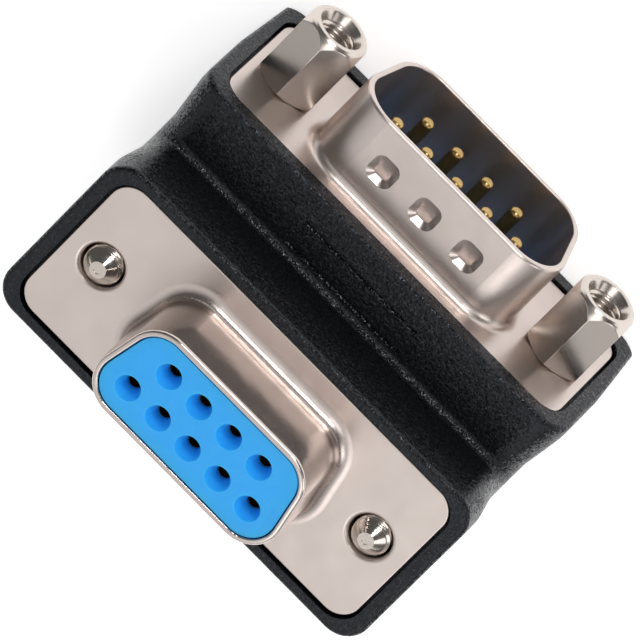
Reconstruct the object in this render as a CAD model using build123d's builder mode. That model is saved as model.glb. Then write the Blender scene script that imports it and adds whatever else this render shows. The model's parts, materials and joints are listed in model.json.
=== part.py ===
from build123d import *
import os
from math import cos, radians, sin, sqrt, tan

# Right-angle 9-way D-sub adapter. +X runs along the flanges, the socket face looks up (+Z)
# and the pin face looks forward (-Y). The origin is on the base, under the socket axis.

# Interface shared by both connectors, in millimetres
contact_pitch = 2.77
row_spacing = 2.84
wide_row = 5
narrow_row = 4
shell_side_margin = 2.625
shell_row_margin = 2.53
screw_to_shell = 4.33
screw_to_flange_end = 2.91
flange_height = 12.55
flange_corner = 1.75
flange_edge_round = 0.12
sheet = 0.5
shell_wall = 0.45
shell_angle = 10.0
shell_corner = 2.6
shell_rim_round = 0.27
shell_rim_break = 0.12
flange_hole = 3.2
flange_hole_round = 0.28

# Socket (female) connector
female_shell_rise = 6.2
female_insulator_rise = 6.1
female_base_round = 0.95
socket_mouth = 1.86
socket_entry = 1.06
socket_mouth_depth = 1.15
socket_setback = 1.5
socket_bore = 1.04
socket_bore_depth = 5.2

# Pin (male) connector
mating_side_gap = 0.295
mating_row_gap = 0.23
male_shell_rise = 6.0
male_insulator_rise = 0.4
male_base_round = 0.7
pin_diameter = 1.0
pin_rise = 4.8
pin_tip_round = 0.32
dimple_pitch = 3.9
dimple_drop = 3.0
dimple_mouth = 2.1
dimple_floor = 1.15
dimple_corner = 0.7
dimple_depth = 0.27
dimple_slope = 13.0
dimple_setback = 0.12
dimple_count = 3

# Rear tub, insulators and contacts, alike on both connectors
tub_side_step = 1.14
tub_row_step = 1.17
tub_corner = 2.4
tub_depth = 4.3
tub_lip = 0.7
insulator_flange = 1.2
insulator_fit = 0.09
rear_insulator_stand = 0.6
contact_diameter = 1.7
contact_collar = 2.3
contact_collar_length = 0.5
contact_fit = 0.05
cup_diameter = 1.8
cup_bore = 1.1
cup_length = 2.1
cup_window = 1.4

# Jumper wires
wire_diameter = 0.55
wire_insertion = 1.2
wire_lead = 0.7
wire_bend = 0.6
bundle_depth_scale = 0.55
bundle_width_scale = 1.5
bundle_back_share = 0.82
bundle_up_share = 0.2

# Hex standoffs and their nuts
standoff_flats = 4.5
standoff_height = 5.75
standoff_turned_length = 0.85
standoff_turned_diameter = 4.44
standoff_end_chamfer = 0.18
standoff_seat = 4.4
standoff_seat_angle = 30.0
thread_major = 2.8
thread_minor = 2.4
thread_depth = 5.2
thread_entry = 2.9
thread_entry_depth = 2.4
thread_lead_in = 3.5
thread_lead_in_depth = 1.0
stud_length = 5.3
stud_chamfer = 0.4
nut_flats = 4.76
nut_thickness = 2.0
nut_bore_fit = 0.05

# Captive jackscrews and their retaining rings
screw_tip_rise = 0.7
screw_tip_chamfer = 0.8
screw_tip_dot = 0.6
screw_tip_dot_depth = 0.06
screw_travel = 5.0
screw_head_diameter = 5.0
screw_head_height = 2.0
screw_head_setback = 0.4
screw_head_chamfer = 0.3
screw_slot_width = 0.8
screw_slot_depth = 1.0
screw_neck_diameter = 2.0
screw_running_fit = 0.08
ring_diameter = 4.2
ring_thickness = 0.6
ring_gap = 1.7
ring_fit = 0.04
ring_seat_z = 12.0

# Moulded elbow housing
end_rim = 1.3
female_inner_rim = 0.925
female_outer_rim = 1.025
male_top_rim = 1.475
male_bottom_rim = 1.425
rim_stand = 0.2
female_leg_rise = 5.65
male_leg_reach = 4.9
waist_inset = 0.42
female_collar = 2.4
female_flare = 3.0
male_collar = 1.0
male_flare = 3.4
flare_round = 4.0
leg_corner = 2.1
heel_round = 6.0
rim_round = 0.35
crease_round = 0.6
parting_z = 8.2
draft_angle = 3.2
recess_gap = 0.18
pocket_gap = 0.15
wiring_width = 16.0
wiring_wall = 2.1
head_bore_gap = 0.15
ring_bore_gap = 0.2
nut_pocket_gap = 0.12
panel_length = 10.3
panel_width = 2.05
panel_crease_gap = 0.85
panel_groove = 0.34
panel_groove_depth = 0.2
panel_groove_taper = 35.0

# Shells, tub and flange worked out from the contact rows
female_shell_width = (wide_row - 1) * contact_pitch + 2 * shell_side_margin
female_shell_height = row_spacing + 2 * shell_row_margin
male_shell_width = female_shell_width + 2 * mating_side_gap
male_shell_height = female_shell_height + 2 * mating_row_gap
tub_width = male_shell_width + 2 * tub_side_step
tub_height = male_shell_height + 2 * tub_row_step
rear_insulator_depth = tub_depth + rear_insulator_stand
screw_spacing = female_shell_width + 2 * screw_to_shell
flange_length = screw_spacing + 2 * screw_to_flange_end

# Places worked out from the sizes above
screw_x = screw_spacing / 2
plate_stack = 2 * sheet
male_axis_z = male_bottom_rim + flange_height / 2
valley_z = male_axis_z + flange_height / 2 + male_top_rim
inner_wall_y = -(flange_height / 2 + female_inner_rim)
outer_wall_y = flange_height / 2 + female_outer_rim
female_face_z = valley_z + female_leg_rise
male_face_y = inner_wall_y - male_leg_reach
rim_top_z = female_face_z + rim_stand
rim_front_y = male_face_y - rim_stand
collar_half = flange_length / 2 + end_rim
waist_half = collar_half - waist_inset

female_face = Plane(origin=(0, 0, female_face_z), x_dir=(1, 0, 0), z_dir=(0, 0, 1))
male_face = Plane(origin=(0, male_face_y, male_axis_z), x_dir=(1, 0, 0), z_dir=(0, -1, 0))

# Contact places on a face, number 1 first: the wide row is at +y, the narrow row at -y
wide_places = [((i - (wide_row - 1) / 2) * contact_pitch, row_spacing / 2) for i in range(wide_row)]
narrow_places = [((i - (narrow_row - 1) / 2) * contact_pitch, -row_spacing / 2) for i in range(narrow_row)]
pin_places = wide_places + narrow_places
socket_places = [(-x, y) for x, y in pin_places]
screw_places = [(-screw_x, 0), (screw_x, 0)]


def save(part, name):
    """Label a finished piece and write it as its own file."""
    part.label = name
    export_step(part, f"parts/{name}.step")


def outward(face):
    """The axis that looks straight out of a connector face."""
    return Axis(face.origin, face.z_dir)


def d_outline(width, height, corner):
    """A D outline of the given overall size, widest at +y, its ends leaning in towards -y."""
    lean = radians(shell_angle)
    half_wide = width / 2 + corner * ((1 + sin(lean)) / cos(lean) - 1)
    half_narrow = half_wide - height * tan(lean)
    with BuildSketch() as outline:
        with BuildLine():
            Polyline(
                (-half_narrow, -height / 2),
                (half_narrow, -height / 2),
                (half_wide, height / 2),
                (-half_wide, height / 2),
                close=True,
            )
        make_face()
        fillet(outline.vertices(), corner)
    return outline.sketch


def tub_outline(inset):
    """The rear tub's outline, moved in all round by inset."""
    return d_outline(tub_width - 2 * inset, tub_height - 2 * inset, tub_corner - inset)


def front_shell(face, outer, inner, rise, base_round):
    """Stamped front shell: a flange with a drawn D-shaped wall standing out of it."""
    with BuildPart() as shell:
        with BuildSketch(face.offset(-sheet)):
            RectangleRounded(flange_length, flange_height, flange_corner)
        extrude(amount=sheet)
        with BuildSketch(face):
            add(outer)
        extrude(amount=rise)
        flange_front = shell.faces().filter_by(outward(face)).sort_by(outward(face))[1]
        fillet(flange_front.inner_wires()[0].edges(), base_round)
        with BuildSketch(face.offset(-sheet)):
            add(inner)
        extrude(amount=sheet + rise, mode=Mode.SUBTRACT)
        rim = shell.faces().filter_by(outward(face)).sort_by(outward(face))[-1]
        fillet(rim.outer_wire().edges(), shell_rim_round)
        rim = shell.faces().filter_by(outward(face)).sort_by(outward(face))[-1]
        fillet(rim.inner_wires()[0].edges(), shell_rim_break)
        with BuildSketch(face.offset(-sheet)):
            with Locations(*screw_places):
                Circle(flange_hole / 2)
        extrude(amount=sheet, mode=Mode.SUBTRACT)
        flange_front = shell.faces().filter_by(outward(face)).sort_by(outward(face))[1]
        holes = flange_front.inner_wires().sort_by(SortBy.LENGTH)[: len(screw_places)]
        fillet(holes.edges(), flange_hole_round)
        flange_front = shell.faces().filter_by(outward(face)).sort_by(outward(face))[1]
        fillet(flange_front.outer_wire().edges(), flange_edge_round)
    return shell.part


def dent(face, origin, grow):
    """Solid of a wedge-shaped dent in a wall: its floor slopes deeper, away from the shell's rim."""
    inward = -face.y_dir
    slope = radians(dimple_slope)
    floor_origin = origin + inward * dimple_depth - face.z_dir * dimple_setback
    floor_axis = inward * cos(slope) + face.z_dir * sin(slope)
    with BuildPart() as wedge:
        with BuildSketch(Plane(origin=origin, x_dir=face.x_dir, z_dir=inward)):
            RectangleRounded(dimple_mouth + grow, dimple_mouth + grow, dimple_corner)
        with BuildSketch(Plane(origin=floor_origin, x_dir=face.x_dir, z_dir=floor_axis)):
            RectangleRounded(dimple_floor + grow, dimple_floor + grow, dimple_corner / 2)
        loft(ruled=True)
    return wedge.part


def press_dimples(shell, face, half_height, rise):
    """Press a row of wedge-shaped dimples into the wide side of a shell, hollow outside."""
    spots = [(i - (dimple_count - 1) / 2) * dimple_pitch for i in range(dimple_count)]
    places = [face.from_local_coords(Vector(x, half_height, rise - dimple_drop)) for x in spots]
    bumps = [dent(face, place - face.y_dir * shell_wall, shell_wall) for place in places]
    hollows = [dent(face, place, 0) for place in places]
    with BuildPart() as pressed:
        add(shell)
        add(bumps)
        add(hollows, mode=Mode.SUBTRACT)
    return pressed.part


def rear_shell(face):
    """Stamped rear shell: a flange with a D-shaped tub behind it, its rim lipped inwards."""
    with BuildPart() as shell:
        with BuildSketch(face.offset(-plate_stack)):
            RectangleRounded(flange_length, flange_height, flange_corner)
        extrude(amount=sheet)
        with BuildSketch(face.offset(-tub_depth)):
            add(tub_outline(0))
        extrude(amount=tub_depth - plate_stack)
        with BuildSketch(face.offset(-tub_depth + shell_wall)):
            add(tub_outline(shell_wall))
        extrude(amount=tub_depth - shell_wall, mode=Mode.SUBTRACT)
        with BuildSketch(face.offset(-tub_depth)):
            add(tub_outline(shell_wall + tub_lip))
        extrude(amount=shell_wall, mode=Mode.SUBTRACT)
        with BuildSketch(face.offset(-plate_stack)):
            with Locations(*screw_places):
                Circle(flange_hole / 2)
        extrude(amount=sheet, mode=Mode.SUBTRACT)
    return shell.part


def front_insulator(face, plug, rise, places, hole, barrel, barrel_top):
    """Front insulator: a D-shaped plug in the shell and a flange caught behind the front plate."""
    flange_back = sheet + insulator_flange
    with BuildPart() as insulator:
        with BuildSketch(face.offset(-flange_back)):
            add(tub_outline(shell_wall + insulator_fit))
        extrude(amount=insulator_flange)
        with BuildSketch(face.offset(-sheet)):
            add(plug)
        extrude(amount=sheet + rise)
        with BuildSketch(face.offset(-flange_back)):
            with Locations(*places):
                Circle(hole / 2)
        extrude(amount=flange_back + rise, mode=Mode.SUBTRACT)
        with BuildSketch(face.offset(-flange_back)):
            with Locations(*places):
                Circle(barrel / 2 + contact_fit)
        extrude(amount=flange_back + barrel_top, mode=Mode.SUBTRACT)
        with BuildSketch(face.offset(-flange_back)):
            with Locations(*places):
                Circle(contact_collar / 2 + contact_fit)
        extrude(amount=contact_collar_length, mode=Mode.SUBTRACT)
    return insulator.part


def rear_insulator(face, places):
    """Rear insulator: a stepped D-shaped block, held in the tub by its lip."""
    flange_back = sheet + insulator_flange
    step = tub_depth - shell_wall
    with BuildPart() as insulator:
        with BuildSketch(face.offset(-step)):
            add(tub_outline(shell_wall + insulator_fit))
        extrude(amount=step - flange_back)
        with BuildSketch(face.offset(-rear_insulator_depth)):
            add(tub_outline(shell_wall + tub_lip + insulator_fit))
        extrude(amount=rear_insulator_depth - step)
        with BuildSketch(face.offset(-rear_insulator_depth)):
            with Locations(*places):
                Circle(contact_diameter / 2 + contact_fit)
        extrude(amount=rear_insulator_depth - flange_back, mode=Mode.SUBTRACT)
    return insulator.part


def contact_tail(face, place):
    """Collar, shank and solder cup at the back of a turned contact, window facing off its row."""
    flange_back = sheet + insulator_flange
    cup_end = rear_insulator_depth + cup_length
    window_side = 1 if place[1] > 0 else -1
    with BuildPart() as tail:
        with BuildSketch(face.offset(-flange_back)):
            with Locations(place):
                Circle(contact_collar / 2)
        extrude(amount=contact_collar_length)
        with BuildSketch(face.offset(-rear_insulator_depth)):
            with Locations(place):
                Circle(contact_diameter / 2)
        extrude(amount=rear_insulator_depth - flange_back)
        with BuildSketch(face.offset(-cup_end)):
            with Locations(place):
                Circle(cup_diameter / 2)
        extrude(amount=cup_length)
        with BuildSketch(face.offset(-cup_end)):
            with Locations(place):
                Circle(cup_bore / 2)
        extrude(amount=cup_length, mode=Mode.SUBTRACT)
        with BuildSketch(face.offset(-cup_end)):
            with Locations((place[0], place[1] + window_side * cup_diameter / 2)):
                Rectangle(cup_diameter, cup_diameter)
        extrude(amount=cup_window, mode=Mode.SUBTRACT)
    return tail.part


def socket_contact(face, place):
    """Turned socket contact: a bored barrel in front of the collar and cup."""
    flange_back = sheet + insulator_flange
    barrel_top = female_insulator_rise - socket_setback
    with BuildPart() as contact:
        add(contact_tail(face, place))
        with BuildSketch(face.offset(-flange_back)):
            with Locations(place):
                Circle(contact_diameter / 2)
        extrude(amount=flange_back + barrel_top)
        with BuildSketch(face.offset(barrel_top)):
            with Locations(place):
                Circle(socket_bore / 2)
        extrude(amount=-socket_bore_depth, mode=Mode.SUBTRACT)
    return contact.part


def pin_contact(face, place):
    """Turned pin contact: a round-tipped pin in front of the collar and cup."""
    flange_back = sheet + insulator_flange
    with BuildPart() as contact:
        add(contact_tail(face, place))
        with BuildSketch(face.offset(-flange_back)):
            with Locations(place):
                Circle(pin_diameter / 2)
        extrude(amount=flange_back + pin_rise)
        tip = contact.faces().filter_by(outward(face)).sort_by(outward(face))[-1]
        fillet(tip.edges(), pin_tip_round)
    return contact.part


def jumper_wire(number):
    """One insulated wire from a socket's cup to the pin of the same number, twisting half a turn."""
    socket_x, socket_y = socket_places[number]
    pin_x, pin_y = pin_places[number]
    cup_end = rear_insulator_depth + cup_length
    top_z = female_face_z - cup_end
    front_y = male_face_y + cup_end
    pin_z = male_axis_z + pin_y
    bundle_y = (1 - bundle_back_share) * front_y
    bundle_z = male_axis_z + bundle_up_share * (top_z - male_axis_z)
    slant = bundle_depth_scale * socket_x / sqrt(2)
    middle = (-bundle_width_scale * socket_y, bundle_y + slant, bundle_z - slant)
    with BuildPart() as wire:
        with BuildLine() as route:
            FilletPolyline(
                (socket_x, socket_y, top_z + wire_insertion),
                (socket_x, socket_y, top_z - wire_lead),
                middle,
                (pin_x, front_y + wire_lead, pin_z),
                (pin_x, front_y - wire_insertion, pin_z),
                radius=wire_bend,
            )
        with BuildSketch(Plane(origin=route.line @ 0, z_dir=route.line % 0)):
            Circle(wire_diameter / 2)
        sweep()
    return wire.part


def hex_standoffs(face):
    """The two hex standoffs: turned outer ends, threaded bores in front, studs behind."""
    corner = standoff_flats / sqrt(3)
    turned = standoff_turned_diameter / 2
    seat = standoff_seat / 2
    seat_rise = (2 * corner - seat) * tan(radians(standoff_seat_angle))
    with BuildPart() as standoffs:
        with BuildSketch(face):
            with Locations(*screw_places):
                RegularPolygon(standoff_flats / 2, 6, major_radius=False, rotation=30)
        extrude(amount=standoff_height)
        for x, y in screw_places:
            centre = face.from_local_coords(Vector(x, y, 0))
            section = Plane(origin=centre, x_dir=face.x_dir, z_dir=-face.y_dir)
            with BuildSketch(section):
                with BuildLine():
                    Polyline(
                        (turned - standoff_end_chamfer, standoff_height),
                        (turned, standoff_height - standoff_end_chamfer),
                        (corner, standoff_height - standoff_turned_length),
                        (2 * corner, standoff_height - standoff_turned_length),
                        (2 * corner, standoff_height),
                        close=True,
                    )
                make_face()
                with BuildLine():
                    Polyline(
                        (0, standoff_height),
                        (thread_lead_in / 2, standoff_height),
                        (thread_entry / 2, standoff_height - thread_lead_in_depth),
                        (thread_entry / 2, standoff_height - thread_entry_depth),
                        (thread_minor / 2, standoff_height - thread_entry_depth),
                        (thread_minor / 2, standoff_height - thread_depth),
                        (0, standoff_height - thread_depth),
                        close=True,
                    )
                make_face()
                with BuildLine():
                    Polyline((seat, 0), (2 * corner, 0), (2 * corner, seat_rise), close=True)
                make_face()
            revolve(axis=Axis(centre, face.z_dir), mode=Mode.SUBTRACT)
        with BuildSketch(face.offset(-stud_length)):
            with Locations(*screw_places):
                Circle(thread_major / 2)
        extrude(amount=stud_length)
        stud_ends = standoffs.faces().filter_by(outward(face)).sort_by(outward(face))[:2]
        chamfer(stud_ends.edges(), stud_chamfer)
    return standoffs.part


def hex_nuts(face):
    """The two nuts behind the male plates that the standoffs' studs screw into."""
    with BuildPart() as nuts:
        with BuildSketch(face.offset(-plate_stack - nut_thickness)):
            with Locations(*screw_places):
                RegularPolygon(nut_flats / 2, 6, major_radius=False, rotation=30)
                Circle(thread_major / 2 + nut_bore_fit, mode=Mode.SUBTRACT)
        extrude(amount=nut_thickness)
    return nuts.part


def jackscrew(x):
    """Captive jackscrew: slotted head in the base, necked for its ring, tip through the flange."""
    head_top = screw_head_setback + screw_head_height
    tip_z = female_face_z + screw_tip_rise
    neck_z = ring_seat_z
    neck_length = ring_thickness + 2 * ring_fit
    with BuildPart() as screw:
        with BuildSketch(Plane.XY.offset(screw_head_setback)):
            with Locations((x, 0)):
                Circle(screw_head_diameter / 2)
        extrude(amount=screw_head_height)
        chamfer(screw.edges().group_by(Axis.Z)[0], screw_head_chamfer)
        with BuildSketch(Plane.XY.offset(screw_head_setback)):
            with Locations((x, 0)):
                Rectangle(screw_slot_width, 2 * screw_head_diameter)
        extrude(amount=screw_slot_depth, mode=Mode.SUBTRACT)
        with BuildSketch(Plane.XY.offset(head_top)):
            with Locations((x, 0)):
                Circle(thread_major / 2)
        extrude(amount=tip_z - head_top)
        chamfer(screw.edges().group_by(Axis.Z)[-1], screw_tip_chamfer)
        with BuildSketch(Plane.XY.offset(tip_z)):
            with Locations((x, 0)):
                Circle(screw_tip_dot / 2)
        extrude(amount=-screw_tip_dot_depth, mode=Mode.SUBTRACT)
        with BuildSketch(Plane.XY.offset(neck_z)):
            with Locations((x, 0)):
                Circle(thread_major)
                Circle(screw_neck_diameter / 2, mode=Mode.SUBTRACT)
        extrude(amount=neck_length, mode=Mode.SUBTRACT)
    return screw.part


def retaining_ring(x):
    """Open ring on a jackscrew's neck: it rests on the housing's shoulder and keeps the screw in."""
    with BuildPart() as ring:
        with BuildSketch(Plane.XY.offset(ring_seat_z + ring_fit)):
            with Locations((x, 0)):
                Circle(ring_diameter / 2)
                Circle(screw_neck_diameter / 2 + ring_fit, mode=Mode.SUBTRACT)
            with Locations((x, ring_diameter / 2)):
                Rectangle(ring_gap, ring_diameter, mode=Mode.SUBTRACT)
        extrude(amount=ring_thickness)
    return ring.part


def flared_outline(near_half, far_half, near, collar, flare, far):
    """A leg's outline in (x, depth): wide at the collar, then tapering to the waist."""
    with BuildSketch() as outline:
        with BuildLine():
            Polyline(
                (-near_half, near),
                (near_half, near),
                (near_half, near + collar),
                (far_half, near + collar + flare),
                (far_half, far),
                (-far_half, far),
                (-far_half, near + collar + flare),
                (-near_half, near + collar),
                close=True,
            )
        make_face()
        taper_corners = [v for v in outline.vertices() if near + collar / 2 < v.Y < far - collar / 2]
        fillet(taper_corners, flare_round)
    return outline.sketch


# Male leg of the housing: its collar flares in plan, its long edges are rounded
male_leg_outline = flared_outline(
    collar_half, waist_half, rim_front_y, male_collar + rim_stand, male_flare, 0
)
with BuildPart() as male_leg:
    with BuildSketch():
        add(male_leg_outline)
    extrude(amount=valley_z)
    top_and_bottom = male_leg.faces().filter_by(Axis.Z)
    fillet(top_and_bottom.edges().filter_by(Axis.X, reverse=True), leg_corner)

# Female leg of the housing: its collar flares in elevation, its upright edges are rounded
leg_root_z = parting_z - leg_corner
female_leg_outline = flared_outline(
    collar_half, waist_half, -rim_top_z, female_collar + rim_stand, female_flare, -leg_root_z
)
with BuildPart() as female_leg:
    with BuildSketch(Plane(origin=(0, inner_wall_y, 0), x_dir=(1, 0, 0), z_dir=(0, 1, 0))):
        add(female_leg_outline)
    extrude(amount=outer_wall_y - inner_wall_y)
    inner_and_outer = female_leg.faces().filter_by(Axis.Y)
    fillet(inner_and_outer.edges().filter_by(Axis.X, reverse=True), leg_corner)

# Heel of the housing: the hidden outer corner of the elbow, rounded across and along
with BuildPart() as heel:
    with BuildSketch(Plane.YZ.offset(-waist_half)) as heel_outline:
        with Locations((outer_wall_y, 0)):
            Rectangle(outer_wall_y, parting_z, align=(Align.MAX, Align.MIN))
        fillet(heel_outline.vertices().sort_by_distance((outer_wall_y, 0))[0], heel_round)
    extrude(amount=2 * waist_half)
    side_edges = heel.faces().filter_by(Axis.X).edges()
    inner_edges = side_edges.group_by(Axis.Y)[0] + side_edges.group_by(Axis.Z)[-1]
    fillet([edge for edge in side_edges if edge not in inner_edges], leg_corner)

# Housing: the elbow with its plate recesses, pockets, screw bores and wiring space
with BuildPart() as housing:
    add(male_leg.part)
    add(female_leg.part)
    add(heel.part)
    # Mould draft on the ends, below the parting line
    draft = parting_z * tan(radians(draft_angle))
    with BuildSketch(Plane.XZ):
        with BuildLine():
            Polyline(
                (-collar_half + draft, 0),
                (collar_half - draft, 0),
                (collar_half, parting_z),
                (collar_half, rim_top_z),
                (-collar_half, rim_top_z),
                (-collar_half, parting_z),
                close=True,
            )
        make_face()
    extrude(amount=2 * flange_length, both=True, mode=Mode.INTERSECT)
    # Rounded rims of both collars and the small fillet in the crease between the legs
    female_rim = housing.faces().filter_by(Axis.Z).sort_by(Axis.Z)[-1]
    male_rim = housing.faces().filter_by(Axis.Y).sort_by(Axis.Y)[0]
    fillet(female_rim.edges() + male_rim.edges(), rim_round)
    crease_edges = housing.edges().filter_by(Axis.X)
    crease = crease_edges.sort_by_distance((0, inner_wall_y, valley_z))[0]
    fillet(crease, crease_round)
    # Recesses that take the two plates of each connector
    for face in (female_face, male_face):
        with BuildSketch(face.offset(-plate_stack)):
            RectangleRounded(
                flange_length + 2 * recess_gap, flange_height + 2 * recess_gap, flange_corner + recess_gap
            )
        extrude(amount=plate_stack + 2 * rim_stand, mode=Mode.SUBTRACT)
        with BuildSketch(face.offset(-rear_insulator_depth - pocket_gap)):
            add(tub_outline(-pocket_gap))
        extrude(amount=rear_insulator_depth, mode=Mode.SUBTRACT)
    # Wiring space: an L-shaped tunnel from one tub to the other
    wiring_half_y = tub_height / 2
    wiring_top_z = male_axis_z + tub_height / 2
    wiring_back_y = outer_wall_y - wiring_wall
    with BuildSketch(Plane.YZ.offset(-wiring_width / 2)) as tunnel:
        with BuildLine():
            Polyline(
                (male_face_y + tub_depth, wiring_wall),
                (wiring_back_y, wiring_wall),
                (wiring_back_y, female_face_z - tub_depth),
                (-wiring_half_y, female_face_z - tub_depth),
                (-wiring_half_y, wiring_top_z),
                (male_face_y + tub_depth, wiring_top_z),
                close=True,
            )
        make_face()
        fillet(tunnel.vertices().sort_by_distance((wiring_back_y, wiring_wall))[0], heel_round - wiring_wall)
    extrude(amount=wiring_width, mode=Mode.SUBTRACT)
    # Jackscrew bores: head bore from the base, close shank bore, wider ring bore from the front
    head_bore_depth = screw_head_setback + screw_head_height + screw_travel + head_bore_gap
    with BuildSketch():
        with Locations(*screw_places):
            Circle(screw_head_diameter / 2 + head_bore_gap)
    extrude(amount=head_bore_depth, mode=Mode.SUBTRACT)
    with BuildSketch():
        with Locations(*screw_places):
            Circle(thread_major / 2 + screw_running_fit)
    extrude(amount=female_face_z, mode=Mode.SUBTRACT)
    with BuildSketch(Plane.XY.offset(ring_seat_z)):
        with Locations(*screw_places):
            Circle(ring_diameter / 2 + ring_bore_gap)
    extrude(amount=female_face_z - ring_seat_z, mode=Mode.SUBTRACT)
    # Nut pockets and stud holes behind the male plates
    with BuildSketch(male_face.offset(-plate_stack - nut_thickness - nut_pocket_gap)):
        with Locations(*screw_places):
            RegularPolygon(nut_flats / 2 + nut_pocket_gap, 6, major_radius=False, rotation=30)
    extrude(amount=nut_thickness + nut_pocket_gap, mode=Mode.SUBTRACT)
    with BuildSketch(male_face.offset(-stud_length - nut_pocket_gap)):
        with Locations(*screw_places):
            Circle(flange_hole / 2)
    extrude(amount=stud_length, mode=Mode.SUBTRACT)
    # Two fine engraved lines along the small panel beside the crease
    panel_edge_y = inner_wall_y - panel_crease_gap
    with BuildSketch(Plane.XY.offset(valley_z)):
        with Locations((0, panel_edge_y), (0, panel_edge_y - panel_width)):
            Rectangle(panel_length, panel_groove)
    extrude(amount=-panel_groove_depth, taper=panel_groove_taper, mode=Mode.SUBTRACT)

# Connector pieces
female_outer = d_outline(female_shell_width, female_shell_height, shell_corner)
female_inner = d_outline(
    female_shell_width - 2 * shell_wall, female_shell_height - 2 * shell_wall, shell_corner - shell_wall
)
female_plug_inset = shell_wall + insulator_fit
female_plug = d_outline(
    female_shell_width - 2 * female_plug_inset,
    female_shell_height - 2 * female_plug_inset,
    shell_corner - female_plug_inset,
)
male_outer = d_outline(
    male_shell_width + 2 * shell_wall, male_shell_height + 2 * shell_wall, shell_corner + shell_wall
)
male_inner = d_outline(male_shell_width, male_shell_height, shell_corner)
male_plug = d_outline(
    male_shell_width - 2 * insulator_fit, male_shell_height - 2 * insulator_fit, shell_corner - insulator_fit
)

female_front = front_shell(female_face, female_outer, female_inner, female_shell_rise, female_base_round)
male_front = front_shell(male_face, male_outer, male_inner, male_shell_rise, male_base_round)
male_half_height = male_shell_height / 2 + shell_wall
male_front = press_dimples(male_front, male_face, male_half_height, male_shell_rise)

female_insulator = front_insulator(
    female_face,
    female_plug,
    female_insulator_rise,
    socket_places,
    socket_entry,
    contact_diameter,
    female_insulator_rise - socket_setback,
)
with BuildPart() as female_front_insulator:
    add(female_insulator)
    mouth = female_front_insulator.faces().filter_by(Axis.Z).sort_by(Axis.Z)[-1]
    mouth_step = (socket_mouth - socket_entry) / 2
    chamfer(mouth.inner_wires().edges(), mouth_step, socket_mouth_depth, reference=mouth)
male_insulator = front_insulator(
    male_face, male_plug, male_insulator_rise, pin_places, pin_diameter + 2 * contact_fit, pin_diameter, 0
)

os.makedirs("parts", exist_ok=True)
save(housing.part, "housing")
save(female_front, "female_front_shell")
save(rear_shell(female_face), "female_rear_shell")
save(female_front_insulator.part, "female_front_insulator")
save(rear_insulator(female_face, socket_places), "female_rear_insulator")
save(male_front, "male_front_shell")
save(rear_shell(male_face), "male_rear_shell")
save(male_insulator, "male_front_insulator")
save(rear_insulator(male_face, pin_places), "male_rear_insulator")
for i in range(len(pin_places)):
    save(socket_contact(female_face, socket_places[i]), f"socket_{i + 1}")
    save(pin_contact(male_face, pin_places[i]), f"pin_{i + 1}")
    save(jumper_wire(i), f"wire_{i + 1}")
save(hex_standoffs(male_face), "hex_standoffs")
save(hex_nuts(male_face), "standoff_nuts")
for side, x in (("left", -screw_x), ("right", screw_x)):
    save(jackscrew(x), f"jackscrew_{side}")
    save(retaining_ring(x), f"retaining_ring_{side}")
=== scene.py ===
# %% [markdown]
# # A right-angle D-sub adapter
# The object is a black moulded elbow that joins a 9-way socket connector to a 9-way pin connector.
# The construction, with every size and place, comes in as a fixed frame. This lesson adds what the
# frame leaves out: the finish of each surface, the screw threads, a studio and a camera.

# %% Load the frame
import json
import math

import bpy
import numpy as np
from mathutils import Matrix, Vector

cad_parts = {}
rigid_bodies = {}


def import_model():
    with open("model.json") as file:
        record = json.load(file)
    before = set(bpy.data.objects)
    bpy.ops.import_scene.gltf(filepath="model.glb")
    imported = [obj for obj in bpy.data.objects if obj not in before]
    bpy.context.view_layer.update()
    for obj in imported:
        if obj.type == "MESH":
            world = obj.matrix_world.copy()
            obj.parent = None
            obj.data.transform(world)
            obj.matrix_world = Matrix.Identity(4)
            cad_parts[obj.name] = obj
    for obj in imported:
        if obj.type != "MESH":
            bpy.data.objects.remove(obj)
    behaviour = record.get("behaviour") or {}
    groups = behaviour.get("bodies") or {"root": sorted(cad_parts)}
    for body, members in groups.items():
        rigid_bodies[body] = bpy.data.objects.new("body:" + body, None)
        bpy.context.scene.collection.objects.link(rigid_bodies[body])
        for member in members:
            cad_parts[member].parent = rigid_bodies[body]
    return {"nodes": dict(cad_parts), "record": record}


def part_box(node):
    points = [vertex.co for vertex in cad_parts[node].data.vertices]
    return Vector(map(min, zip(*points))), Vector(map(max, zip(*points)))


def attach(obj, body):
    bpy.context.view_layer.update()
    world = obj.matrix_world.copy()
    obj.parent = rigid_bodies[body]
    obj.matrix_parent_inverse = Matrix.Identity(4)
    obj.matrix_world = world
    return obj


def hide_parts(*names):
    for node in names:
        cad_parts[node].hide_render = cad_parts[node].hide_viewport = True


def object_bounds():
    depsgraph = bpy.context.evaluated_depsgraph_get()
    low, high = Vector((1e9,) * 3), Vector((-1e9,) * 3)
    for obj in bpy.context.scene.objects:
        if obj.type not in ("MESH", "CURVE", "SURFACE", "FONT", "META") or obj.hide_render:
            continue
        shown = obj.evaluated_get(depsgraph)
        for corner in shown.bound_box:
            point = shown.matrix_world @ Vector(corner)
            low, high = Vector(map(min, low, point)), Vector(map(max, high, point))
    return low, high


for leftover in list(bpy.data.objects):
    bpy.data.objects.remove(leftover)
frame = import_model()
nodes = frame["nodes"]
bpy.context.view_layer.update()
cad_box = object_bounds()
MM = 0.001
print("nodes", len(nodes), "box in mm", [round(v / MM, 2) for corner in cad_box for v in corner])
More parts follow.
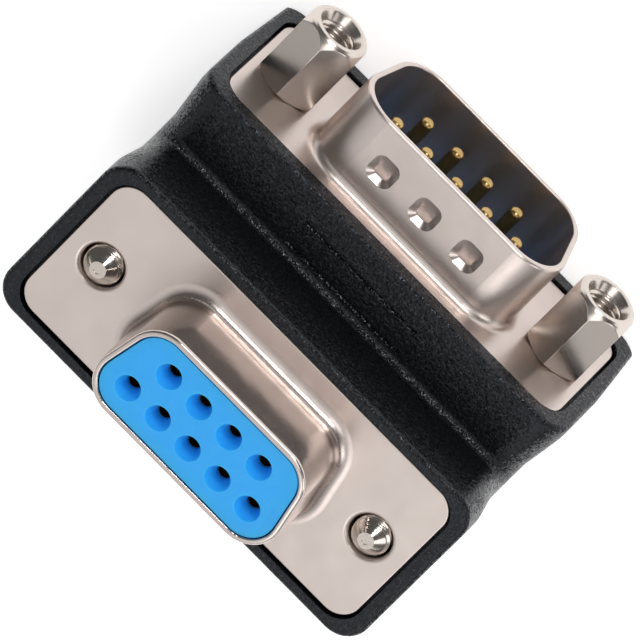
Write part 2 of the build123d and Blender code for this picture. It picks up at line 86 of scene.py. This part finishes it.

# %% [markdown]
# ## Colours and nodes
# Colours are given as sRGB hex values, but shaders add light, so they need linear numbers.
# One function turns one into the other. A second one adds any shader node with its settings and its
# links, which keeps every material below to a short list of what the real surface does.

# %% Helpers for materials
def linear(hex_code):
    """sRGB hex to linear RGBA: a straight piece near black, and a power curve above it."""
    channels = [int(hex_code[i:i + 2], 16) / 255 for i in (1, 3, 5)]
    curve = [c / 12.92 if c <= 0.04045 else ((c + 0.055) / 1.055) ** 2.4 for c in channels]
    return (*curve, 1.0)


def add(tree, kind, links=None, **settings):
    """Add one node. Settings are its own properties, links its sockets: a value, or a socket to join."""
    made = tree.nodes.new(kind)
    for name, value in settings.items():
        setattr(made, name, value)
    for socket, value in (links or {}).items():
        if isinstance(value, bpy.types.NodeSocket):
            tree.links.new(value, made.inputs[socket])
        else:
            made.inputs[socket].default_value = value
    return made


def new_material(name, **sockets):
    """A material with one Principled shader, whose steady values sit on the shader's own sockets."""
    material = bpy.data.materials.new(name)
    material.use_nodes = True
    tree = material.node_tree
    shader = tree.nodes["Principled BSDF"]
    for socket, value in sockets.items():
        shader.inputs[socket.replace("_", " ")].default_value = value
    material.diffuse_color = shader.inputs["Base Color"].default_value
    return material, tree, shader


def per_metre(size_mm):
    """Texture scale for a pattern whose features are size_mm across, in coordinates of metres."""
    return 1 / (size_mm * MM)


print("a pattern of 1 mm needs a texture scale of", round(per_metre(1)))

# %% [markdown]
# ## Black housing
# The elbow is moulded ABS from a spark-eroded mould. Each spark leaves a tiny crater with its own
# tilt, so the plastic looks soft and dark face on and breaks into sparkles where an edge catches the
# light. A picture of such a skin would stretch round the corners. A bump of cells and finer noise in
# the object's own space doesn't.

# %% Spark-eroded black ABS
# Sizes in mm. Real craters are finer, and are drawn this coarse so that they show in the picture
ABS_GRAIN = 0.26
ABS_GRIT = 0.13
ABS_PIT_DEPTH = 0.05
ABS_PIT_STRENGTH = 0.6
black_abs, tree, shader = new_material(
    "spark_eroded_black_abs", Base_Color=linear("#08090A"), Roughness=0.42,
    Specular_IOR_Level=0.38, Specular_Tint=linear("#F0F3FF"))
place = add(tree, "ShaderNodeTexCoord").outputs["Object"]
cells = add(tree, "ShaderNodeTexVoronoi", {"Vector": place, "Scale": per_metre(ABS_GRAIN)},
            feature="SMOOTH_F1").outputs["Distance"]
grit = add(tree, "ShaderNodeTexNoise",
           {"Vector": place, "Scale": per_metre(ABS_GRIT), "Detail": 2.0}).outputs["Fac"]
pits = add(tree, "ShaderNodeMath", {0: cells, 1: grit}, operation="ADD").outputs["Value"]
bump = add(tree, "ShaderNodeBump", {"Height": pits, "Strength": ABS_PIT_STRENGTH,
                                    "Distance": ABS_PIT_DEPTH * MM}).outputs["Normal"]
tone = add(tree, "ShaderNodeMix", {"Factor": grit, "A": linear("#040506"), "B": linear("#0A0B0D")},
           data_type="RGBA")
tree.links.new(tone.outputs["Result"], shader.inputs["Base Color"])
print("made the skin of", black_abs.name)

# %% [markdown]
# ## Craters that sparkle
# Random colours of still smaller cells, read as small vectors, tip the normal of each crater its own
# way, and give it its own gloss. Flat walls here face along an axis, so a normal between two axes
# marks a rounded edge. There the craters are steeper, and handling has rubbed them glossy.

# %% Tip and polish the craters
ABS_CRATER = 0.11
ABS_FLAT_TILT = 0.24
ABS_EDGE_TILT = 0.5
ABS_GLOSSIEST = 0.16
ABS_DULLEST = 0.46
ABS_EDGE_RUB = 0.6
# The normal's largest part along one axis, on a flat wall and well round an edge
FLAT_WALL = 0.97
ROUND_EDGE = 0.8
HALF_GREY = (0.5, 0.5, 0.5)


def by_edge(tree, largest, on_flat, on_edge):
    """A value that goes evenly from the one on flat walls to the one on rounded edges."""
    return add(tree, "ShaderNodeMapRange", {
        "Value": largest, "From Min": FLAT_WALL, "To Min": on_flat,
        "From Max": ROUND_EDGE, "To Max": on_edge}).outputs["Result"]


facing = add(tree, "ShaderNodeNewGeometry").outputs["Normal"]
facing = add(tree, "ShaderNodeVectorMath", {0: facing}, operation="ABSOLUTE").outputs["Vector"]
facing = add(tree, "ShaderNodeSeparateXYZ", {"Vector": facing}).outputs
largest = add(tree, "ShaderNodeMath", {0: facing["Y"], 1: facing["Z"]}, operation="MAXIMUM")
largest = add(tree, "ShaderNodeMath", {0: facing["X"], 1: largest.outputs["Value"]},
              operation="MAXIMUM").outputs["Value"]
craters = add(tree, "ShaderNodeTexVoronoi",
              {"Vector": place, "Scale": per_metre(ABS_CRATER)}).outputs["Color"]
centred = add(tree, "ShaderNodeVectorMath", {0: craters, 1: HALF_GREY},
              operation="SUBTRACT").outputs["Vector"]
tilt = by_edge(tree, largest, ABS_FLAT_TILT, ABS_EDGE_TILT)
tipped = add(tree, "ShaderNodeVectorMath", {0: centred, "Scale": tilt},
             operation="SCALE").outputs["Vector"]
normal = add(tree, "ShaderNodeVectorMath", {0: bump, 1: tipped}, operation="ADD").outputs["Vector"]
normal = add(tree, "ShaderNodeVectorMath", {0: normal}, operation="NORMALIZE").outputs["Vector"]
tree.links.new(normal, shader.inputs["Normal"])
chance = add(tree, "ShaderNodeSeparateXYZ", {"Vector": craters}).outputs["X"]
gloss = add(tree, "ShaderNodeMapRange",
            {"Value": chance, "To Min": ABS_GLOSSIEST, "To Max": ABS_DULLEST}).outputs["Result"]
rubbed = by_edge(tree, largest, 1.0, ABS_EDGE_RUB)
gloss = add(tree, "ShaderNodeMath", {0: gloss, 1: rubbed}, operation="MULTIPLY").outputs["Value"]
tree.links.new(gloss, shader.inputs["Roughness"])
print("added craters to", black_abs.name)

# %% [markdown]
# ## Stamped shells
# Both shells are drawn from steel sheet and plated with nickel. Nickel is a warm, slightly yellow
# grey. The tool leaves the sheet satin, with a fine grain and slow waves where the metal was drawn,
# so reflections in it wander instead of running straight. Drawing has burnished the deep wall of the
# socket shell, so that one mirrors its flange and the black rim more clearly.

# %% Satin nickel on drawn steel
# Sizes in mm. The real grain is finer, and is drawn this coarse so that it shows in the picture
SHEET_GRAIN = 0.13
SHEET_GRAIN_DEPTH = 0.012
SHEET_GRAIN_STRENGTH = 0.16
SHEET_WAVE = 2.4
SHEET_WAVE_DEPTH = 0.12
SHEET_WAVE_STRENGTH = 0.3
# Heights in mm between which the wall turns brighter, and the share of its haze that is left
BURNISHED_FROM = 21.2
BURNISHED_TO = 21.8
BURNISHED_SHARE = 0.64
# Nearly all values of a noise lie between these two
NOISE_LOW = 0.3
NOISE_HIGH = 0.7


def hazed(tree, pattern, glossiest, dullest):
    """Roughness that follows a noise: its usual range is spread evenly from glossiest to dullest."""
    return add(tree, "ShaderNodeMapRange", {
        "Value": pattern, "From Min": NOISE_LOW, "From Max": NOISE_HIGH,
        "To Min": glossiest, "To Max": dullest}).outputs["Result"]


satin_nickel, tree, shader = new_material(
    "satin_nickel_on_drawn_steel", Base_Color=linear("#D2C6C0"), Metallic=1.0, Roughness=0.22)
place = add(tree, "ShaderNodeTexCoord").outputs["Object"]
grain = add(tree, "ShaderNodeTexNoise",
            {"Vector": place, "Scale": per_metre(SHEET_GRAIN), "Detail": 3.0}).outputs["Fac"]
wave = add(tree, "ShaderNodeTexNoise",
           {"Vector": place, "Scale": per_metre(SHEET_WAVE), "Detail": 1.0}).outputs["Fac"]
fine = add(tree, "ShaderNodeBump", {"Height": grain, "Strength": SHEET_GRAIN_STRENGTH,
                                    "Distance": SHEET_GRAIN_DEPTH * MM}).outputs["Normal"]
slow = add(tree, "ShaderNodeBump", {"Height": wave, "Strength": SHEET_WAVE_STRENGTH,
                                    "Distance": SHEET_WAVE_DEPTH * MM, "Normal": fine}).outputs["Normal"]
tree.links.new(slow, shader.inputs["Normal"])
height = add(tree, "ShaderNodeSeparateXYZ", {"Vector": place}).outputs["Z"]
share = add(tree, "ShaderNodeMapRange", {
    "Value": height, "From Min": BURNISHED_FROM * MM, "To Min": 1.0,
    "From Max": BURNISHED_TO * MM, "To Max": BURNISHED_SHARE}).outputs["Result"]
haze = add(tree, "ShaderNodeMath", {0: hazed(tree, grain, 0.29, 0.36), 1: share},
           operation="MULTIPLY").outputs["Value"]
tree.links.new(haze, shader.inputs["Roughness"])
tone = add(tree, "ShaderNodeMix", {"Factor": wave, "A": linear("#CDC1BB"), "B": linear("#D7CBC5")},
           data_type="RGBA")
tree.links.new(tone.outputs["Result"], shader.inputs["Base Color"])
print("made", satin_nickel.name)

# %% [markdown]
# ## Turned hex bar
# The standoffs are turned from drawn hex brass bar and plated. Drawing and grinding leave fine marks
# across the flats. Noise that is squeezed along the bar and stretched across it draws those marks.
# The corners of such a bar are never quite sharp. A Bevel node rounds the shading there, so each
# corner catches a thin line of light.

# %% Nickel on turned brass
BAR_MARK = 0.10
BAR_MARK_LENGTH = 1.6
BAR_MARK_DEPTH = 0.012
BAR_MARK_STRENGTH = 0.08
BAR_CORNER = 0.09
bar_nickel, tree, shader = new_material(
    "nickel_on_turned_hex_bar", Base_Color=linear("#D4CAC2"), Metallic=1.0, Roughness=0.2)
place = add(tree, "ShaderNodeTexCoord").outputs["Object"]
stretch = (per_metre(BAR_MARK_LENGTH), per_metre(BAR_MARK), per_metre(BAR_MARK_LENGTH))
across = add(tree, "ShaderNodeMapping", {"Vector": place, "Scale": stretch}).outputs["Vector"]
marks = add(tree, "ShaderNodeTexNoise", {"Vector": across, "Scale": 1.0, "Detail": 3.0}).outputs["Fac"]
corner = add(tree, "ShaderNodeBevel", {"Radius": BAR_CORNER * MM}, samples=8).outputs["Normal"]
bump = add(tree, "ShaderNodeBump", {"Height": marks, "Strength": BAR_MARK_STRENGTH,
                                    "Distance": BAR_MARK_DEPTH * MM, "Normal": corner}).outputs["Normal"]
tree.links.new(bump, shader.inputs["Normal"])
tree.links.new(hazed(tree, marks, 0.2, 0.27), shader.inputs["Roughness"])
print("made", bar_nickel.name)

# %% [markdown]
# ## Rolled screws and spring rings
# A rolled thread is burnished by its dies, so the plated jackscrew is the brightest metal here. The
# retaining ring is plain spring steel, darker and bluer, and it only shows deep in its bore.

# %% Bright screw and spring steel
SCREW_GRAIN = 0.2
SPRING_GRAIN = 0.3


def mottled(tree, shader, size_mm, detail, dark, light):
    """Base colour that wanders between two near colours, as a noise of the given size does."""
    place = add(tree, "ShaderNodeTexCoord").outputs["Object"]
    noise = add(tree, "ShaderNodeTexNoise",
                {"Vector": place, "Scale": per_metre(size_mm), "Detail": detail}).outputs["Fac"]
    tone = add(tree, "ShaderNodeMix", {"Factor": noise, "A": linear(dark), "B": linear(light)},
               data_type="RGBA")
    tree.links.new(tone.outputs["Result"], shader.inputs["Base Color"])


screw_nickel, tree, shader = new_material(
    "bright_nickel_on_rolled_screw", Base_Color=linear("#D3CAC1"), Metallic=1.0, Roughness=0.16)
place = add(tree, "ShaderNodeTexCoord").outputs["Object"]
grain = add(tree, "ShaderNodeTexNoise",
            {"Vector": place, "Scale": per_metre(SCREW_GRAIN), "Detail": 2.0}).outputs["Fac"]
tree.links.new(hazed(tree, grain, 0.12, 0.24), shader.inputs["Roughness"])
spring_steel, tree, shader = new_material(
    "plain_spring_steel", Base_Color=linear("#8E9094"), Metallic=1.0, Roughness=0.34)
mottled(tree, shader, SPRING_GRAIN, 2.0, "#7D7F84", "#9A9CA0")
print("made", screw_nickel.name, spring_steel.name)

# %% [markdown]
# ## Insulators
# The insulators are moulded PBT, the bright blue one round the sockets and a dark blue one round the
# pins. Moulded PBT is satin with a faint mottle. A little light passes under its skin, so the
# countersinks stay blue in their shade instead of going grey.

# %% Moulded PBT
PBT_MOTTLE = 0.9
PBT_SKIN = 0.22
PBT_SKIN_DEPTH = 0.02
PBT_SKIN_STRENGTH = 0.25
# How deep light wanders, in mm, and the share of that for red, green and blue
PBT_LIGHT_DEPTH = 1.2
PBT_LIGHT_SHARES = (0.2, 0.6, 1.0)


def moulded_pbt(name, dark, light, roughness):
    """PBT with a slow mottle between two near colours and a skin of shallow pits."""
    material, tree, shader = new_material(
        name, Base_Color=linear(dark), Roughness=roughness, Subsurface_Weight=0.5,
        Subsurface_Scale=PBT_LIGHT_DEPTH * MM, Subsurface_Radius=PBT_LIGHT_SHARES)
    mottled(tree, shader, PBT_MOTTLE, 3.0, dark, light)
    place = add(tree, "ShaderNodeTexCoord").outputs["Object"]
    skin = add(tree, "ShaderNodeTexNoise",
               {"Vector": place, "Scale": per_metre(PBT_SKIN), "Detail": 2.0}).outputs["Fac"]
    bump = add(tree, "ShaderNodeBump", {"Height": skin, "Strength": PBT_SKIN_STRENGTH,
                                        "Distance": PBT_SKIN_DEPTH * MM}).outputs["Normal"]
    tree.links.new(bump, shader.inputs["Normal"])
    print("made", name)
    return material


blue_pbt = moulded_pbt("moulded_blue_pbt", "#27AAFF", "#35B5FF", 0.4)
dark_pbt = moulded_pbt("moulded_dark_blue_pbt", "#2B5078", "#37608C", 0.38)

# %% [markdown]
# ## Contacts and wires
# The contacts are turned brass with a gold flash, so thin that a little of the brass tint comes
# through. The jumper wires inside have plain extruded insulation.

# %% Gold flash and extruded insulation
GOLD_GRAIN = 0.25
WIRE_GRAIN = 0.5
gold_flash, tree, shader = new_material(
    "gold_flash_on_turned_brass", Base_Color=linear("#BFA069"), Metallic=1.0, Roughness=0.28)
mottled(tree, shader, GOLD_GRAIN, 2.0, "#AE8C50", "#CDB27C")
wire_skin, tree, shader = new_material(
    "extruded_wire_insulation", Base_Color=linear("#8E9196"), Roughness=0.45)
mottled(tree, shader, WIRE_GRAIN, 1.0, "#83868B", "#999CA1")
print("made", gold_flash.name, wire_skin.name)

# %% [markdown]
# ## Dress the frame
# Every node of the frame names a material slot in its record. A small table gives each slot its
# finish, and one loop dresses all the nodes.

# %% Assign the finishes
FINISHES = {
    "black_plastic": black_abs,
    "nickel_plate": satin_nickel,
    "nickel_brass": bar_nickel,
    "plated_screw": screw_nickel,
    "spring_steel": spring_steel,
    "blue_insulator": blue_pbt,
    "dark_insulator": dark_pbt,
    "gold_contact": gold_flash,
    "wire_insulation": wire_skin,
}
for subpart in frame["record"]["subparts"]:
    mesh = nodes[subpart["node"]].data
    mesh.materials.clear()
    mesh.materials.append(FINISHES[subpart["material_slot"]])

# %% [markdown]
# ## Threads
# A screw thread is a ridge that climbs one pitch in each turn. It can be written as a surface of two
# parameters: the height along the axis and the angle round it. The radius falls and rises with the
# height, and the angle shifts that wave by one pitch per turn. A bolt in the frame is a smooth
# cylinder, so the jackscrews here are drawn again with their thread, and take the place of the nodes.

# %% Helpers for surfaces
# Sizes in mm, and the points round one turn
THREAD_PITCH = 0.38
THREAD_DEPTH = 0.2
AROUND = 96
# The ridge is drawn a little too tall and too low, and then cut flat at root and crest
RIDGE_GAIN = 1.3
RIDGE_CUT = 0.15
SHARP_DEGREES = 35.0


def grid_faces(rows, columns):
    """Quads of a grid that closes on itself round its columns, rows counted from its first edge."""
    row = np.arange(rows - 1)[:, None]
    column = np.arange(columns)[None, :]
    beside = (column + 1) % columns
    corners = [row * columns + column, row * columns + beside,
               (row + 1) * columns + beside, (row + 1) * columns + column]
    return np.stack([np.broadcast_to(c, (rows - 1, columns)) for c in corners], -1).reshape(-1, 4)


def make_piece(name, surfaces, material, body):
    """One mesh object from closed surfaces, each a (rows, columns, 3) grid of points in metres."""
    points = [surface.reshape(-1, 3) for surface in surfaces]
    starts = np.cumsum([0] + [len(p) for p in points])
    faces = [grid_faces(*s.shape[:2]) + start for s, start in zip(surfaces, starts)]
    mesh = bpy.data.meshes.new(name)
    mesh.from_pydata(np.concatenate(points), [], np.concatenate(faces).tolist())
    mesh.validate()
    mesh.shade_smooth()
    mesh.set_sharp_from_angle(angle=math.radians(SHARP_DEGREES))
    mesh.materials.append(material)
    piece = bpy.data.objects.new(name, mesh)
    bpy.context.scene.collection.objects.link(piece)
    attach(piece, body)
    return piece


def ridge(turns):
    """Thread wave from 0 at the root to 1 at the crest: a triangle with its tips cut flat."""
    saw = 1 - np.abs(2 * (turns % 1) - 1)
    return np.clip(RIDGE_GAIN * saw - RIDGE_CUT, 0, 1)


print("thread of", THREAD_PITCH, "mm pitch,", AROUND, "points round")

# %% [markdown]
# ## Jackscrews
# Going up the screw, the rows are the slotted head, the plain shank, the neck that holds the ring,
# the thread and the chamfered tip. Only the thread depends on the angle. The tip's chamfer is a cone
# that cuts into the thread, so each point takes the smaller radius of the two, with the corner
# between them eased.

# %% Shape of a jackscrew
# Radii, heights and depths in mm
SCREW_TIP_FACE = 0.6
SCREW_NECK = 1.0
SCREW_NECK_Z = 12.0
SCREW_NECK_LENGTH = 0.68
SCREW_SHANK = 1.4
HEAD_HEIGHT = 2.0
HEAD_CHAMFER = 0.3
SLOT_WIDTH = 0.8
SLOT_DEPTH = 1.0
TIP_DOT = 0.3
TIP_DOT_DEPTH = 0.06
TIP_BLEND = 0.08
THREAD_ROWS = 300


def spun(radius, height, angle, centre):
    """Points of a surface of revolution: radius and height by row, angle by column."""
    radius, height, angle = np.broadcast_arrays(radius, height, angle)
    flat = np.stack([radius * np.cos(angle), radius * np.sin(angle), height], -1)
    return flat * MM + np.array([centre, 0.0, 0.0])


def screw_body(centre, low, high, head_radius):
    """The screw without its lips: plain rows, then the thread cut by the tip's cone, then the tip."""
    angle = np.linspace(0, 2 * np.pi, AROUND, endpoint=False)[None, :]
    neck_top = SCREW_NECK_Z + SCREW_NECK_LENGTH
    plain = np.array([
        (0, low + SLOT_DEPTH), (head_radius, low + SLOT_DEPTH), (head_radius, low + HEAD_HEIGHT),
        (SCREW_SHANK, low + HEAD_HEIGHT), (SCREW_SHANK, SCREW_NECK_Z),
        (SCREW_NECK, SCREW_NECK_Z), (SCREW_NECK, neck_top),
    ])
    height = np.linspace(neck_top, high, THREAD_ROWS)[:, None]
    thread = SCREW_SHANK - THREAD_DEPTH * (1 - ridge(height / THREAD_PITCH - angle / (2 * np.pi)))
    cone = SCREW_TIP_FACE + (high - height)
    gap = np.abs(thread - cone)
    threaded = np.minimum(thread, cone) - np.clip(TIP_BLEND - gap, 0, None) ** 2 / (4 * TIP_BLEND)
    tip = np.array([(TIP_DOT, high), (TIP_DOT, high - TIP_DOT_DEPTH), (0, high - TIP_DOT_DEPTH)])
    rows = [
        spun(plain[:, :1], plain[:, 1:], angle, centre),
        spun(threaded, height, angle, centre),
        spun(tip[:, :1], tip[:, 1:], angle, centre),
    ]
    return np.concatenate(rows)


def slot_lip(centre, low, head_radius, side):
    """Half of the head beside the slot: an arc closed by the slot's wall, chamfered on the arc."""
    def outline(radius, height):
        reach = math.acos(SLOT_WIDTH / 2 / radius)
        angle = np.linspace(-reach, reach, AROUND)
        ring = np.stack([side * radius * np.cos(angle), side * radius * np.sin(angle)], -1)
        return np.concatenate([ring, np.full((AROUND, 1), height)], -1)
    top = low + SLOT_DEPTH
    rows = [outline(head_radius, top), outline(head_radius, low + HEAD_CHAMFER),
            outline(head_radius - HEAD_CHAMFER, low)]
    middles = [row.mean(0, keepdims=True).repeat(AROUND, 0) for row in (rows[0], rows[-1])]
    stack = np.stack([middles[0], *rows, middles[1]])[::-1]
    return stack * MM + np.array([centre, 0.0, 0.0])


print("thread is cut in", THREAD_ROWS, "rows")

# %% [markdown]
# ## Put the jackscrews in place
# The frame's own screws give the place, the length and the head's radius. Each drawn screw rides on
# the body of the smooth one, so it slides and turns with it.

# %% Draw the jackscrews
SIDES = ("left", "right")
for side_name in SIDES:
    node_name = f"jackscrew_{side_name}"
    low, high = [np.array(corner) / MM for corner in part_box(node_name)]
    centre = (low[0] + high[0]) / 2 * MM
    head_radius = (high[0] - low[0]) / 2
    surfaces = [screw_body(centre, low[2], high[2], head_radius)]
    surfaces += [slot_lip(centre, low[2], head_radius, side) for side in (-1, 1)]
    screw = make_piece(f"threaded_jackscrew_{side_name}", surfaces, screw_nickel,
                       f"screw_{side_name}")
    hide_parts(node_name)
    print(screw.name, "faces", len(screw.data.polygons))

# %% [markdown]
# ## Threads in the standoffs
# The bores of the standoffs are tapped for the jackscrews of a plug. The frame has the plain bore, so
# a sleeve with the inner thread is set against its wall. The sleeve is a closed ring: in along the
# wall, back along the thread. A countersink cuts the thread at the mouth, so each point of the way
# back takes the larger radius of the two.

# %% Draw the tapped bores
# Radii and depths in mm
BORE_MOUTH = 1.75
BORE_RADIUS = 1.45
BORE_LEAD_IN = 1.0
BORE_DEPTH = 2.36
BORE_ROWS = 160
COUNTERSINK = 1.72
COUNTERSINK_SLOPE = 0.6
TAPPED_ROOT = 1.4
SEAT_GAP = 0.004

standoff_low, standoff_high = [np.array(corner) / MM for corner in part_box("hex_standoffs")]
standoff_mouth_y = standoff_low[1]
bore_z = (standoff_low[2] + standoff_high[2]) / 2


def tapped_sleeve(x):
    """Sleeve along Y: rows in along the wall, then back along the wider of countersink and thread."""
    angle = np.linspace(0, 2 * np.pi, AROUND, endpoint=False)[None, :]
    depth = np.linspace(SEAT_GAP, BORE_DEPTH, BORE_ROWS)[:, None]
    wall = np.interp(depth, [0, BORE_LEAD_IN], [BORE_MOUTH, BORE_RADIUS]) - SEAT_GAP
    thread = TAPPED_ROOT - THREAD_DEPTH * ridge(depth / THREAD_PITCH - angle / (2 * np.pi))
    inner = np.maximum(thread, COUNTERSINK - COUNTERSINK_SLOPE * depth)
    outer = np.broadcast_to(wall, inner.shape)
    radius = np.concatenate([outer, inner[::-1], outer[:1]])
    along = standoff_mouth_y + np.concatenate([depth, depth[::-1], depth[:1]])
    along = np.broadcast_to(along, radius.shape)
    points = np.stack([x + radius * np.cos(angle), along, bore_z + radius * np.sin(angle)], -1)
    return points * MM


for side_name in SIDES:
    screw_low, screw_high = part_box(f"jackscrew_{side_name}")
    bore_x = float((screw_low[0] + screw_high[0]) / 2 / MM)
    sleeve = make_piece(f"standoff_thread_{side_name}", [tapped_sleeve(bore_x)], bar_nickel,
                        "elbow")
    print(sleeve.name, "faces", len(sleeve.data.polygons))

# %% [markdown]
# ## Floor
# The adapter stands on a white sweep. The floor is a plain pale surface that keeps the shadow. For
# rays that come from the camera, or bounce off metal, a little glow lifts it to the white of the
# paper. It lies a hair below the base, so the two faces don't fight for the same place.

# %% White floor
# Sizes in metres
FLOOR_HALF = 3.0
FLOOR_DROP = 0.02 * MM
PAPER_GLOW = 0.5
WHITE = (1, 1, 1, 1)
floor_mesh = bpy.data.meshes.new("studio_floor")
floor_mesh.from_pydata(
    [(-FLOOR_HALF, -FLOOR_HALF, -FLOOR_DROP), (FLOOR_HALF, -FLOOR_HALF, -FLOOR_DROP),
     (FLOOR_HALF, FLOOR_HALF, -FLOOR_DROP), (-FLOOR_HALF, FLOOR_HALF, -FLOOR_DROP)], [], [(0, 1, 2, 3)])
floor = bpy.data.objects.new("studio_floor", floor_mesh)
bpy.context.scene.collection.objects.link(floor)
paper, tree, shader = new_material(
    "white_sweep_paper", Base_Color=linear("#F2F2F2"), Roughness=0.9, Emission_Color=WHITE)
rays = add(tree, "ShaderNodeLightPath").outputs
seen = add(tree, "ShaderNodeMath", {0: rays["Is Camera Ray"], 1: rays["Is Glossy Ray"]},
           operation="ADD").outputs["Value"]
seen = add(tree, "ShaderNodeMath", {0: seen, 1: rays["Is Transmission Ray"]},
           operation="ADD").outputs["Value"]
glow = add(tree, "ShaderNodeMath", {0: seen, 1: PAPER_GLOW}, operation="MULTIPLY").outputs["Value"]
tree.links.new(glow, shader.inputs["Emission Strength"])
floor_mesh.materials.append(paper)
print("floor is", 2 * FLOOR_HALF, "m wide")

# %% [markdown]
# ## Studio air
# Metal only shows what stands round it. So for rays that bounce off metal, the air is bright behind
# the adapter and dim in front: the flanges turn light and the shell walls dark. Other surfaces get
# one even level, and the camera sees white.

# %% World
SKY_SIDE = Vector((-0.05, 0.6, 0.8)).normalized()
# How nearly a direction must face the bright side, and the levels there and away from it
SKY_FROM = 0.25
SKY_TO = 0.85
SKY_DIM = 0.1
SKY_BRIGHT = 0.82
EVEN_LEVEL = 0.57
world = bpy.data.worlds.new("studio_air")
bpy.context.scene.world = world
world.use_nodes = True
tree = world.node_tree
rays = add(tree, "ShaderNodeLightPath").outputs
seen = add(tree, "ShaderNodeMath", {0: rays["Is Camera Ray"], 1: rays["Is Transmission Ray"]},
           operation="ADD").outputs["Value"]
toward = add(tree, "ShaderNodeTexCoord").outputs["Generated"]
facing = add(tree, "ShaderNodeVectorMath", {0: toward, 1: SKY_SIDE},
             operation="DOT_PRODUCT").outputs["Value"]
sky = add(tree, "ShaderNodeMapRange", {
    "Value": facing, "From Min": SKY_FROM, "From Max": SKY_TO,
    "To Min": SKY_DIM, "To Max": SKY_BRIGHT}).outputs["Result"]
shine = add(tree, "ShaderNodeMix", {"Factor": rays["Is Glossy Ray"], "A": EVEN_LEVEL, "B": sky},
            data_type="FLOAT").outputs["Result"]
level = add(tree, "ShaderNodeMix", {"Factor": seen, "A": shine, "B": 1.0},
            data_type="FLOAT").outputs["Result"]
air = tree.nodes["Background"]
air.inputs["Color"].default_value = WHITE
tree.links.new(level, air.inputs["Strength"])
print("air is", SKY_BRIGHT, "behind and", SKY_DIM, "in front")

# %% [markdown]
# ## Lights
# Four soft lights draw the highlights. A small bright one low in front lights the hole edges and the
# sparkle of the black skin, one beside the camera the wall of the socket shell and the tapped bores,
# one at the side the screw tips, and one above lets the flanges fade.

# %% Softboxes
def softbox(name, direction, distance, side, watts):
    """A square light that looks at the middle of the object from a direction, sizes in metres."""
    lamp = bpy.data.lights.new(name, "AREA")
    lamp.size = side
    lamp.energy = watts
    box = bpy.data.objects.new(name, lamp)
    aim = Vector(direction).normalized()
    middle = (cad_box[0] + cad_box[1]) / 2
    box.location = middle + aim * distance
    box.rotation_euler = aim.to_track_quat("Z", "Y").to_euler()
    bpy.context.scene.collection.objects.link(box)
    print("light", name, watts, "W")


softbox("front_softbox", direction=(-0.1, -0.88, 0.47), distance=1.4, side=0.32, watts=4.6)
softbox("camera_softbox", direction=(-0.22, -0.52, 0.83), distance=1.4, side=0.6, watts=2.2)
softbox("side_softbox", direction=(-0.85, -0.2, 0.45), distance=0.45, side=0.2, watts=0.26)
softbox("top_softbox", direction=(-0.36, 0.42, 0.83), distance=0.35, side=0.16, watts=0.1)

# %% [markdown]
# ## Camera
# The picture was taken from far away with a long lens, rolled so that the adapter lies on the
# diagonal. Matching the screws, flange corners and contacts gave the direction, roll and scale.

# %% Place the camera
VIEW_AZIMUTH = math.radians(-0.751)
VIEW_ELEVATION = math.radians(59.214)
VIEW_ROLL = math.radians(-134.064)
VIEW_DISTANCE = 1.0
VIEW_PIXELS_PER_RADIAN = 15163.257
IMAGE_LONG_SIDE = 641
TARGET = Vector((0, -5, 12)) * MM
SIDE_SHIFT = -0.847 * MM
UP_SHIFT = -0.942 * MM

back = Vector((math.sin(VIEW_AZIMUTH) * math.cos(VIEW_ELEVATION),
               -math.cos(VIEW_AZIMUTH) * math.cos(VIEW_ELEVATION), math.sin(VIEW_ELEVATION)))
level_right = Vector((0, 0, 1)).cross(back).normalized()
level_up = back.cross(level_right)
right = level_right * math.cos(VIEW_ROLL) + level_up * math.sin(VIEW_ROLL)
up = level_up * math.cos(VIEW_ROLL) - level_right * math.sin(VIEW_ROLL)
lens = bpy.data.cameras.new("photo_camera")
camera = bpy.data.objects.new("photo_camera", lens)
bpy.context.scene.collection.objects.link(camera)
bpy.context.scene.camera = camera
lens.sensor_width = 36.0
lens.lens = VIEW_PIXELS_PER_RADIAN * lens.sensor_width / IMAGE_LONG_SIDE
lens.clip_start = 0.01
lens.clip_end = 20.0
stand = TARGET + right * SIDE_SHIFT + up * UP_SHIFT + back * VIEW_DISTANCE
camera.matrix_world = Matrix.Translation(stand) @ Matrix((right, up, back)).transposed().to_4x4()
bpy.context.scene.view_settings.view_transform = "Standard"
print("lens in mm", round(lens.lens, 1))

# %% [markdown]
# ## Finish
# At the end the view layer is updated once more.

# %% Update the view layer
bpy.context.view_layer.update()
